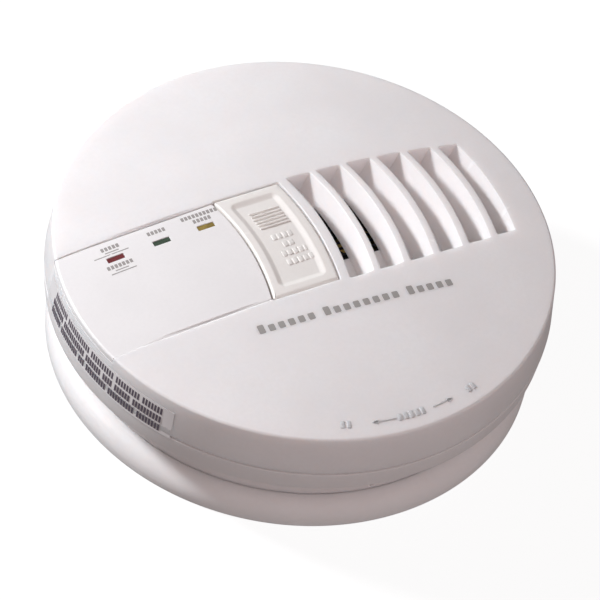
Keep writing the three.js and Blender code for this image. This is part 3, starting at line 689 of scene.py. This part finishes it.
def join(name, objects):
    """One object from several separate solids."""
    merged = bmesh.new()
    for obj in objects:
        merged.from_mesh(obj.data)
        bpy.data.objects.remove(obj)
    mesh = bpy.data.meshes.new(name)
    merged.to_mesh(mesh)
    merged.free()
    result = bpy.data.objects.new(name, mesh)
    bpy.context.scene.collection.objects.link(result)
    return result


# ---- printing and raised marks ----
PRINT = 0.03               # thickness of printed ink


def printed(middle, size, depth=0.0, tilt=0.0, corner=0.12):
    """A flat printed bar lying on the face; tilt turns it about its middle."""
    outline = [(x, y, 0, 0) for x, y, _, _ in tilted(middle, size, min(corner, min(size) * 0.45), tilt, 2)]
    return loft("print", draped(outline, [(0, depth + 0.01), (0, depth - PRINT)]))


TITLE_START, TITLE_END = Vector((-29.4, -27.7)), Vector((30.6, -30.5))
TITLE_WORDS = (6, 8, 5)
TITLE_GAP, TITLE_SPACE = 0.75, 2.6
TITLE_LOW, TITLE_TALL = 2.2, 2.9


def title_marks():
    """Three words' worth of grey blocks along the front of the face."""
    direction = TITLE_END - TITLE_START
    blocks = []
    letters, spaces = sum(TITLE_WORDS), len(TITLE_WORDS) - 1
    gaps = TITLE_GAP * (letters - len(TITLE_WORDS))
    width = (direction.length - gaps - TITLE_SPACE * spaces) / letters
    along = 0.0
    for count in TITLE_WORDS:
        for i in range(count):
            height = TITLE_TALL if i == 0 else TITLE_LOW
            spot = TITLE_START + direction.normalized() * (along + width / 2)
            lift = Vector((0, (height - TITLE_LOW) / 2))
            blocks.append(printed(spot + lift, (width * 0.82, height), 0.0,
                                  math.degrees(math.atan2(direction.y, direction.x)), 0.3))
            along += width + TITLE_GAP
        along += TITLE_SPACE - TITLE_GAP
    return place(shade(join("title_marks", blocks)), "ink", "alarm", "label_film")


# Y, middle X and count of each row of blocks; then Y, middle X and length of each fine line
INDICATOR_ROWS = ((16.2, -53.9, 5), (16.0, -39.8, 5), (16.9, -26.1, 10), (14.9, -26.1, 5),
                  (9.4, -53.9, 7))
INDICATOR_LINES = ((14.75, -53.9, 4.2), (13.9, -54.4, 10.5), (7.9, -53.9, 4.0), (7.0, -53.7, 7.6))
INDICATOR_BLOCK, INDICATOR_GAP = 0.82, 0.32


def indicator_marks():
    """Blocks and fine lines that stand for the wording round the three windows."""
    blocks = []
    size, pitch = INDICATOR_BLOCK, INDICATOR_BLOCK + INDICATOR_GAP
    for y, x, count in INDICATOR_ROWS:
        width = count * pitch - INDICATOR_GAP
        for i in range(count):
            blocks.append(printed((x - width / 2 + i * pitch + size / 2, y), (size, 1.35), BAND_DROP))
    for y, x, length in INDICATOR_LINES:
        blocks.append(printed((x, y), (length, 0.32), BAND_DROP))
    return place(shade(join("indicator_marks", blocks)), "ink", "alarm", "label_film")


TURN_RADIUS = 66.95        # the arrows and end marks lie on this circle
TURN_MARKS = ((-17.6, 2), (-1.25, 5), (16.1, 2))
TURN_ARROWS = ((-11.4, -4.8), (10.35, 4.1))


def front_spot(angle):
    """Point of the marks' circle, in degrees from the front middle towards +X."""
    turn = math.radians(angle)
    return TURN_RADIUS * math.sin(turn), -TURN_RADIUS * math.cos(turn)


def turn_marks():
    """Raised arrows and end marks that show which way the alarm turns on its bracket."""
    shapes = []
    for middle, count in TURN_MARKS:
        for i in range(count):
            angle = middle + (i - (count - 1) / 2) * 1.5
            shapes.append(raised_bar("mark", front_spot(angle), (1.25, 2.2), 0.0, 0.2, 0.35, angle))
    for tip, tail in TURN_ARROWS:
        middle, length = (tip + tail) / 2, math.radians(abs(tip - tail)) * TURN_RADIUS
        shapes.append(raised_bar("line", front_spot(middle), (length - 1.2, 0.5), 0.0, 0.2, 0.2, middle))
        side = 1 if tail > tip else -1
        x, y = front_spot(tip)
        along = Vector((math.cos(math.radians(tip)), math.sin(math.radians(tip)))) * side
        across = Vector((-along.y, along.x)) * 0.75
        back = Vector((x, y)) + along * 1.9
        head = [(x, y), tuple(back - across), tuple(back + across)]
        shapes.append(loft("head", [[(hx, hy, surface_z(hx, hy) + z) for hx, hy in head]
                                    for z in (-0.3, 0.2)]))
    return place(shade(join("turn_marks", shapes)), "cover", "alarm", "white_shell")


def wall_radius(z):
    """Radius of the case wall at a height, across the parting line."""
    if z < COVER_BOTTOM:
        return HOUSING_RADIUS
    taper = (WALL_RADIUS - CREST_RADIUS) / (FILLET_CENTRE[1] - COVER_BOTTOM)
    return WALL_RADIUS - (z - COVER_BOTTOM) * taper


def wall_patch(name, angles, zs, lift, thickness, steps=24):
    """A thin patch wrapped on the wall."""
    columns = []
    for i in range(steps + 1):
        turn = math.radians(angles[0] + (angles[1] - angles[0]) * i / steps)
        ring = []
        for r, z in ((wall_radius(zs[0]) + lift, zs[0]), (wall_radius(zs[1]) + lift, zs[1]),
                     (wall_radius(zs[1]) + lift + thickness, zs[1]),
                     (wall_radius(zs[0]) + lift + thickness, zs[0])):
            ring.append((r * math.cos(turn), r * math.sin(turn), z))
        columns.append(ring)
    return loft(name, columns[::-1])


def side_label():
    film = wall_patch("side_label", LABEL_ANGLES, LABEL_Z, 0.05, 0.06, 64)
    return place(shade(film), "label", "alarm", "label_film", "side_label")


# height and block counts of each row on the side label
LABEL_ROWS = ((32.4, (7, 9, 10, 12, 9)), (29.3, (10, 6, 4, 7, 12, 8)), (26.2, (8, 10, 9, 3, 10, 7)))
LABEL_START = 210.8        # degrees round the case; the rows run back from here
LABEL_BLOCK, LABEL_PITCH, LABEL_SPACE = 0.5, 0.8, 0.7


def side_label_marks():
    """Three rows of dark blocks on the side label."""
    blocks = []
    for z, words in LABEL_ROWS:
        angle = LABEL_START
        for count in words:
            for _ in range(count):
                angles = (angle - LABEL_BLOCK, angle)
                blocks.append(wall_patch("print", angles, (z, z + 2.3), 0.115, 0.02, 1))
                angle -= LABEL_PITCH
            angle -= LABEL_SPACE
    return place(shade(join("side_label_marks", blocks)), "dark_ink", "alarm", "label_film")


# ---- back housing ----
def housing_outline():
    """Tub, recessed neck, flared underside, short wall, and the inside again."""
    return soften([(0, HOUSING_BOTTOM, 0), (TUB_RADIUS, HOUSING_BOTTOM, 0.8), (TUB_RADIUS, 7.2, 0.1),
                   (NECK_RADIUS, 7.2, 0.05), (NECK_RADIUS, 14.6, 1.0), (65.6, 16.2, 1.0),
                   (71.2, 19.0, 0.5), (72.3, 19.6, 0.12), (HOUSING_RADIUS, HOUSING_TOP, 0.2),
                   (70.6, HOUSING_TOP, 0.2), (70.6, 21.3, 0.5), (62.2, 16.6, 1.0),
                   (62.2, 9.6, 0.5), (60.4, 9.6, 0.4), (60.4, 5.6, 0.6), (0, 5.6, 0)])


def sector(name, radii, angles, zs, steps=8):
    ring = arc((0, 0), radii[1], angles[0], angles[1], steps)
    ring += arc((0, 0), radii[0], angles[1], angles[0], steps)
    return loft(name, [[(x, y, z) for x, y in ring] for z in zs])


def case_posts():
    return [(x, y) for x in (-CASE_SCREW_OFFSET, CASE_SCREW_OFFSET)
            for y in (-CASE_SCREW_OFFSET, CASE_SCREW_OFFSET)]


BAY_WALL = 1.5
BOARD_POSTS = ((46, 31), (-42, -28))
LUG_HALF, LUG_RADII, LUG_Z = 6, (62.1, 64.2), (3.8, 5.2)
TICK_RADII, TICK_ANGLES, TICK_Z = (64.2, 65.2), (263.0, 263.9), (8.2, 12.0)


def back_housing():
    """The tub with its battery bay, screw posts, inlet opening and bayonet lugs."""
    body = lathe("back_housing", housing_outline())
    add(body, block("bay", (BAY_X[0] - BAY_WALL, BAY_X[1] + BAY_WALL),
                    (-BAY_HALF - BAY_WALL, BAY_HALF + BAY_WALL), (4.0, 25.0)))
    hinge = rod("hinge", 1.25, (-16.2, 16.2), (0, 0), 24)
    turn_along_y(hinge, (3.8, 0, 5.0))
    tools = [block("hollow", BAY_X, (-BAY_HALF, BAY_HALF), (2.4, 23.8)), hinge,
             rod("notch", 7.0, (2.4, 4.6), (BAY_X[0] - 0.5, 0)),
             block("inlet", (INLET_X - 12.8, INLET_X + 12.8), (-8.3, 8.3), (2.4, 6.6))]
    posts = []
    for x, y in case_posts():
        posts.append(rod("post", 4.6, (3.9, 24.6), (x, y)))
        tools.append(lathe("recess", [(0, 2.4), (3.8, 2.4), (3.3, 3.9), (3.3, 7.4), (0, 7.4)], 48,
                           (x, y)))
        tools.append(rod("hole", 1.75, (3.4, 25.6), (x, y), 24))
    for x, y in BOARD_POSTS:
        posts.append(rod("post", 3.2, (5.1, 25.1), (x, y), 32))
        tools.append(rod("hole", 1.5, (8.6, 26.4), (x, y), 24))
    for angle in BAYONET_ANGLES:
        posts.append(sector("lug", LUG_RADII, (angle - LUG_HALF, angle + LUG_HALF), LUG_Z))
    add(body, *posts)
    tools.append(sector("mark", TICK_RADII, TICK_ANGLES, TICK_Z, 1))
    cut(body, *tools)
    return place(shade(body), "housing", "alarm", "white_shell", "back_housing")


def turn_along_y(obj, centre):
    """Lay a piece built about +Z along +Y, with its origin moved to a centre."""
    turned = Matrix.Translation(Vector(centre) * MM) @ Matrix.Rotation(math.pi / 2, 4, "X")
    obj.data.transform(turned)
    return obj


# ---- mounting bracket ----
SLOT_RADIUS, SLOT_REACH = 2.3, (41.3, 50.8)
KEYHOLE_X, KEYHOLE_RADIUS, KEYHOLE_RUN = 59.2, 4.6, 9.0
PLATE_TOP = 2.4
LEDGE_RADII, LEDGE_Z = (62.9, 65.2), (5.5, 7.0)


def screw_openings():
    """Two radial slots for a ceiling box and two keyholes for wall screws."""
    tools = []
    for side in (-1, 1):
        track = []
        for y, turns in ((SLOT_REACH[1], (0, 180)), (SLOT_REACH[0], (180, 360))):
            centre = (0, side * y)
            start, end = turns if side > 0 else (turns[0] + 180, turns[1] + 180)
            track += arc(centre, SLOT_RADIUS, start, end, 10)
        tools.append(loft("slot", [[(x, y, z) for x, y in track] for z in (-1, PLATE_TOP + 1)]))
        x = side * KEYHOLE_X
        key = arc((x, KEYHOLE_RUN), SLOT_RADIUS, 0, 180, 10) + arc((x, 0), KEYHOLE_RADIUS, 120, 420, 24)
        tools.append(loft("keyhole", [[(px, py, z) for px, py in key] for z in (-1, PLATE_TOP + 1)]))
    return tools


def wiring_opening():
    """Big round opening with two flat sides and a soft edge on both faces."""
    radius, half = 53.0, 31.0
    turn = math.degrees(math.asin(half / radius))
    ring = arc((0, 0), radius, -turn, turn, 32) + arc((0, 0), radius, 180 - turn, 180 + turn, 32)
    rings = []
    for z, grow in ((-1, 1.3), (0, 0.35), (0.35, 0.05), (0.9, 0), (1.6, 0), (2.05, 0.05),
                    (2.4, 0.35), (3.4, 1.3)):
        rings.append([(x * (1 + grow / radius), y * (1 + grow / half), z) for x, y in ring])
    return loft("opening", rings)


def mounting_bracket():
    """Back plate with a low flared flange, the wiring opening, and the bayonet's ledges and stops."""
    flare = [(64.8 + 5.8 * math.cos(t), 1.6 + 5.9 * math.sin(t))
             for t in (math.radians(90 * i / 12) for i in range(13))]
    body = lathe("mounting_bracket", [
        (0, 0), (66.4, 0), (66.4, 5.2), (67.8, 4.4), (68.9, 2.4), (69.0, 0), (70.1, 0), (70.4, 0.1),
        (70.55, 0.3)] + flare[:-1] + [(64.9, 7.5), (64.82, 7.47), (64.8, 7.4), (64.8, 2.8),
                                      (64.5, 2.45), (64.2, 2.4), (0, 2.4)])
    cut(body, wiring_opening(), *screw_openings())
    ledges = []
    for angle in BAYONET_ANGLES:
        ledges.append(sector("ledge", LEDGE_RADII, (angle - LUG_HALF, angle + LUG_HALF), LEDGE_Z))
        ledges.append(sector("stop", LEDGE_RADII, (angle - 10, angle - 7), (2.0, LEDGE_Z[1])))
    add(body, *ledges)
    return place(shade(body), "bracket", "bracket", "white_shell", "mounting_bracket")


# ---- pieces that keep their shape and gain rounded edges ----
def refined(node, material, body, slot, width):
    """The node's own solid with clean faces and rounded edges."""
    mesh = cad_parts[node].data.copy()
    piece = bpy.data.objects.new(node + "_piece", mesh)
    bpy.context.scene.collection.objects.link(piece)
    work = bmesh.new()
    work.from_mesh(mesh)
    bmesh.ops.remove_doubles(work, verts=work.verts, dist=1e-6)
    bmesh.ops.dissolve_limit(work, angle_limit=math.radians(1), verts=work.verts, edges=work.edges)
    work.to_mesh(mesh)
    work.free()
    edge = piece.modifiers.new("edge", "BEVEL")
    edge.width = width * MM
    edge.segments = 3
    edge.limit_method = "ANGLE"
    edge.angle_limit = math.radians(42)
    edge.use_clamp_overlap = True
    return place(shade(bake(piece)), material, body, slot, node)


INNER = (
    ("button_guide", "black", "alarm", "black_plastic", 0.2),
    ("test_switch", "black", "alarm", "black_plastic", 0.2),
    ("switch_plunger", "button", "plunger", "ivory_button", 0.3),
    ("circuit_board", "board", "alarm", "board_green", 0.1),
    ("horn_housing", "black", "alarm", "black_plastic", 0.25),
    ("piezo_disc", "brass", "alarm", "brass", 0.05),
    # the insect screen takes the near-black painted-shade material
    ("insect_screen", "mesh", "alarm", "steel", 0.04),
    ("co_sensor", "steel", "alarm", "steel", 0.2),
    ("co_sensor_filter", "black", "alarm", "black_plastic", 0.2),
    ("microcontroller", "black", "alarm", "black_plastic", 0.08),
    ("transformer", "winding", "alarm", "transformer_steel", 0.3),
    ("film_capacitor", "black", "alarm", "black_plastic", 0.5),
    ("electrolytic_capacitor", "black", "alarm", "black_plastic", 0.1),
    ("mains_inlet", "black", "alarm", "black_plastic", 0.25),
    ("battery", "battery", "alarm", "battery_jacket", 0.8),
    ("battery_door", "housing", "door", "white_shell", 0.3),
    ("rating_label", "label", "alarm", "label_film", 0.05),
)

# shown as the frame's own solids, with only a material; the spring is rigid, like the rest
KEPT = {"button_spring": "steel", "red_led": "red", "green_led": "green", "amber_led": "amber"}


def inner_pieces():
    for node, material, body, slot, width in INNER:
        refined(node, material, body, slot, width)
    for prefix, count, material, slot, width in (
            ("board_screw_", 2, "steel", "steel", 0.1), ("case_screw_", 4, "steel", "steel", 0.12),
            ("inlet_pin_", 3, "brass", "brass", 0.2), ("battery_contact_", 2, "steel", "steel", 0.1)):
        for number in range(1, count + 1):
            refined(f"{prefix}{number}", material, "alarm", slot, width)
    for node, material in KEPT.items():
        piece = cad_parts[node]
        for slot in piece.material_slots:
            slot.material = MATERIALS[material]


# ---- stage, light and camera ----
KEY_DIRECTION = Vector((-0.57, 0.61, 0.55))
FILL_DIRECTION = Vector((-0.082, -0.784, 0.616))
LAMP_DISTANCE = 1.0        # metres
KEY_POWER, KEY_SIZE, KEY_COLOUR = 10.0, 0.157, (0.98, 1.0, 1.035)
FILL_POWER, FILL_SPREAD, FILL_COLOUR = 0.78, 60, (1.0, 0.82, 0.83)
WORLD_POWER, WORLD_COLOUR = 0.20, (1.0, 0.93, 0.92, 1)
FLOOR_HALF, FLOOR_Z = 2500, -0.02
FLOOR_TONES = (0.15, 0.16)
FLOOR_GLOW = 0.90


def stage():
    """Plain floor that gives off light to look white, left out of bounced light and reflections."""
    corners = [(sx * FLOOR_HALF, sy * FLOOR_HALF, FLOOR_Z)
               for sx, sy in ((-1, -1), (1, -1), (1, 1), (-1, 1))]
    ground = mesh_object("ground", corners, [(0, 1, 2, 3)])
    material, tree, shader = shader_tree("ground")
    tone = remap(tree, noise(tree, 3.0), 0.3, 0.7, 0.0, 1.0)
    base = mix_colour(tree, tone, (FLOOR_TONES[0],) * 3, (FLOOR_TONES[1],) * 3)
    tree.links.new(base, shader.inputs["Base Color"])
    shader.inputs["Roughness"].default_value = 0.9
    shader.inputs["Emission Color"].default_value = (1, 1, 1, 1)
    shader.inputs["Emission Strength"].default_value = FLOOR_GLOW
    ground.data.materials.append(material)
    ground.visible_diffuse = False
    ground.visible_glossy = False


def lamp(name, kind, direction, energy, colour):
    """A light seen from the object along a direction; area lamps stand LAMP_DISTANCE away."""
    light = bpy.data.lights.new(name, kind)
    light.energy = energy
    light.color = colour
    holder = bpy.data.objects.new(name, light)
    turn = direction.to_track_quat("Z", "Y").to_matrix().to_4x4()
    holder.matrix_world = Matrix.Translation(direction.normalized() * LAMP_DISTANCE) @ turn
    bpy.context.scene.collection.objects.link(holder)
    return light


def lights():
    """Key disk, wide soft fill and a dim even surround."""
    key = lamp("key", "AREA", KEY_DIRECTION, KEY_POWER, KEY_COLOUR)
    key.shape = "DISK"
    key.size = KEY_SIZE
    fill = lamp("fill", "SUN", FILL_DIRECTION, FILL_POWER, FILL_COLOUR)
    fill.angle = math.radians(FILL_SPREAD)
    world = bpy.data.worlds.new("studio")
    world.use_nodes = True
    background = world.node_tree.nodes["Background"]
    background.inputs["Color"].default_value = WORLD_COLOUR
    background.inputs["Strength"].default_value = WORLD_POWER
    bpy.context.scene.world = world
    bpy.context.scene.view_settings.view_transform = "Standard"


CAMERA_TURN, CAMERA_RISE, CAMERA_ROLL = -35.15, 48.15, 10.94
CAMERA_AIM = Vector((-1.07, -4.19, 20.0))
CAMERA_DISTANCE = 1142.0
CAMERA_LENS, CAMERA_SENSOR = 240, 36


def camera():
    turn, rise, roll = (math.radians(a) for a in (CAMERA_TURN, CAMERA_RISE, CAMERA_ROLL))
    back = Vector((math.sin(turn) * math.cos(rise), -math.cos(turn) * math.cos(rise), math.sin(rise)))
    level = Vector((math.cos(turn), math.sin(turn), 0))
    upright = back.cross(level)
    right = level * math.cos(roll) + upright * math.sin(roll)
    up = back.cross(right)
    data = bpy.data.cameras.new("camera")
    data.lens = CAMERA_LENS
    data.sensor_width = CAMERA_SENSOR
    data.clip_end = 20
    data.dof.use_dof = False
    view = bpy.data.objects.new("camera", data)
    place_at = (CAMERA_AIM + back * CAMERA_DISTANCE) * MM
    axes = Matrix((right, up, back)).transposed().to_4x4()
    view.matrix_world = Matrix.Translation(place_at) @ axes
    bpy.context.scene.collection.objects.link(view)
    bpy.context.scene.camera = view


cover()
indicator_panel()
for lens_colour, lens_x in zip(("red", "green", "amber"), WINDOW_XS):
    light_pipe(lens_colour, lens_x)
test_button()
button_relief()
title_marks()
indicator_marks()
turn_marks()
side_label()
side_label_marks()
back_housing()
mounting_bracket()
inner_pieces()
stage()
lights()
camera()
